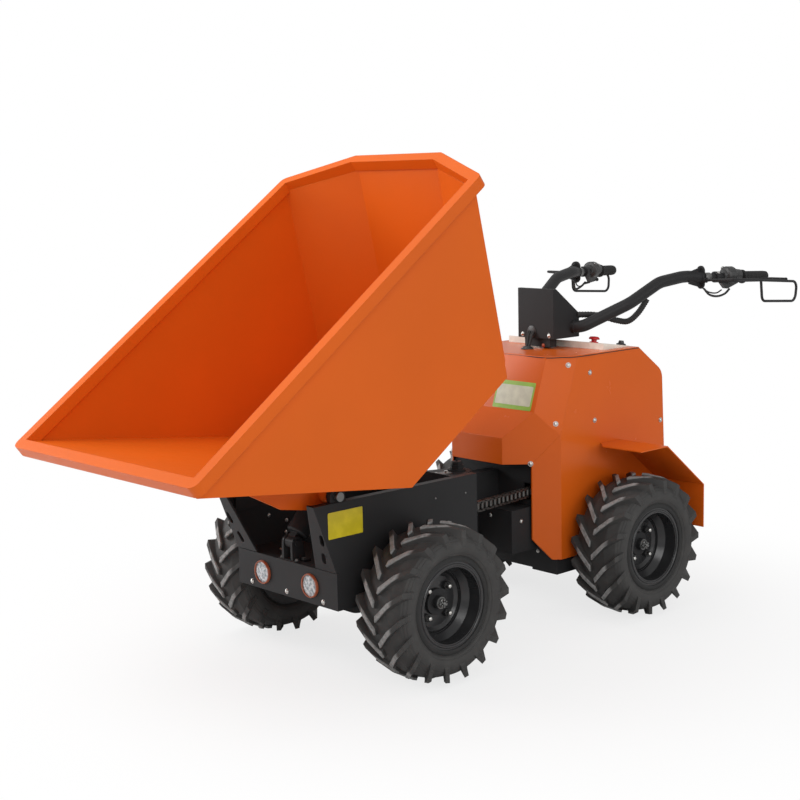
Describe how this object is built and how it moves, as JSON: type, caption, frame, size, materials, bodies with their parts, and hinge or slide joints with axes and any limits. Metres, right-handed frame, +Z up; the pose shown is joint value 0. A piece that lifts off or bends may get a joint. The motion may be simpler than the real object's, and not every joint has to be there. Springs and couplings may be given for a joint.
{
  "type": "articulated mini site dumper",
  "caption": "Walk-behind tipping dumper, pivot-steered frame, front skip on a linear actuator, boxy hood, handlebar and lugged tyres.",
  "frame": {"origin": "on the ground under the middle of the machine's overall length and width, skip in its stored forward-tipped position", "axes": "+X towards the skip end, +Y to the machine's left, +Z up; symmetric about the XZ plane"},
  "size_m": [2.3062, 0.803, 1.328],
  "materials": {
    "orange_paint": "satin powder coat",
    "skip_paint": "satin powder coat",
    "black_paint": "satin powder coat",
    "rim_paint": "gloss enamel",
    "tyre_rubber": "matte",
    "grip_rubber": "matte",
    "black_plastic": "matte",
    "panel_plastic": "satin",
    "knob_plastic": "gloss",
    "bright_steel": "zinc plated",
    "chain_steel": "oiled",
    "rod_chrome": "polished",
    "cast_black": "painted",
    "lamp_glass": "clear lens in a dark cup",
    "battery_case": "matte"
  },
  "bodies": {
    "rear": {"rear_frame": "black_paint", "battery_pack": "battery_case", "rear_axle": "cast_black", "hood_front": "orange_paint", "hood_left": "orange_paint", "hood_right": "orange_paint", "hood_top": "orange_paint", "hood_rear": "orange_paint", "mudguards": "orange_paint", "control_panel": "panel_plastic", "panel_switches": "knob_plastic", "column_bearing": "bright_steel"},
    "front": {"front_frame": "black_paint", "lamp_plate": "black_paint", "lamps": "lamp_glass", "front_axle": "cast_black", "front_drive_motor": "cast_black", "pivot_pin": "bright_steel", "skip_shaft": "bright_steel"},
    "skip": {"skip_body": "skip_paint", "skip_rim": "skip_paint", "skip_brackets": "skip_paint"},
    "barrel": {"actuator_barrel": "cast_black", "actuator_motor": "cast_black"},
    "rod": {"actuator_rod": "rod_chrome"},
    "column": {"column_bracket": "black_paint", "handlebar": "black_paint", "grips": "grip_rubber", "switch_pods": "black_plastic", "brake_levers": "black_paint", "hand_guards": "black_paint"},
    "chain_left": {"chain_left": "chain_steel"},
    "chain_right": {"chain_right": "chain_steel"},
    "wheel_front_left": {"tyre_front_left": "tyre_rubber", "rim_front_left": "rim_paint", "hub_front_left": "cast_black"},
    "wheel_front_right": {"tyre_front_right": "tyre_rubber", "rim_front_right": "rim_paint", "hub_front_right": "cast_black"},
    "wheel_rear_left": {"tyre_rear_left": "tyre_rubber", "rim_rear_left": "rim_paint", "hub_rear_left": "cast_black"},
    "wheel_rear_right": {"tyre_rear_right": "tyre_rubber", "rim_rear_right": "rim_paint", "hub_rear_right": "cast_black"}
  },
  "joints": [
    {"name": "articulation", "type": "hinge", "parent": "rear", "child": "front", "pos_m": [-0.01722, 0, 0.319], "axis": [0, 0, 1], "range_deg": [-20, 20]},
    {"name": "steering", "type": "hinge", "parent": "rear", "child": "column", "pos_m": [-0.41072, 0, 0.756], "axis": [0, 0, 1], "range_deg": [-41, 41]},
    {"name": "skip_tip", "type": "hinge", "parent": "front", "child": "skip", "pos_m": [0.59428, 0, 0.49], "axis": [0, 1, 0], "range_deg": [-36, 40]},
    {"name": "actuator_swing", "type": "hinge", "parent": "front", "child": "barrel", "pos_m": [0.58478, 0, 0.34], "axis": [0, 1, 0], "range_deg": [-30, 30]},
    {"name": "actuator_stroke", "type": "slide", "parent": "barrel", "child": "rod", "axis": [-0.6718, 0, 0.7407], "range_m": [-0.09, 0.1]},
    {"name": "chain_left_swing", "type": "hinge", "parent": "front", "child": "chain_left", "pos_m": [0.08878, 0.168, 0.372], "axis": [0, 0, 1], "range_deg": [-15, 15]},
    {"name": "chain_right_swing", "type": "hinge", "parent": "front", "child": "chain_right", "pos_m": [0.08878, -0.168, 0.372], "axis": [0, 0, 1], "range_deg": [-15, 15]},
    {"name": "wheel_front_left_spin", "type": "hinge", "parent": "front", "child": "wheel_front_left", "pos_m": [0.38928, 0.32, 0.205], "axis": [0, 1, 0], "continuous": true},
    {"name": "wheel_front_right_spin", "type": "hinge", "parent": "front", "child": "wheel_front_right", "pos_m": [0.38928, -0.32, 0.205], "axis": [0, 1, 0], "continuous": true},
    {"name": "wheel_rear_left_spin", "type": "hinge", "parent": "rear", "child": "wheel_rear_left", "pos_m": [-0.42372, 0.32, 0.205], "axis": [0, 1, 0], "continuous": true},
    {"name": "wheel_rear_right_spin", "type": "hinge", "parent": "rear", "child": "wheel_rear_right", "pos_m": [-0.42372, -0.32, 0.205], "axis": [0, 1, 0], "continuous": true}
  ],
  "couplings": [
    {"joint": "steering", "follows": "articulation", "ratio": 2},
    {"joint": "chain_left_swing", "follows": "articulation", "ratio": -0.55},
    {"joint": "chain_right_swing", "follows": "articulation", "ratio": -0.55},
    {"joint": "actuator_swing", "follows": "skip_tip", "ratio": 0.725},
    {"joint": "actuator_stroke", "follows": "skip_tip", "m_per_rad": 0.104}
  ]
}
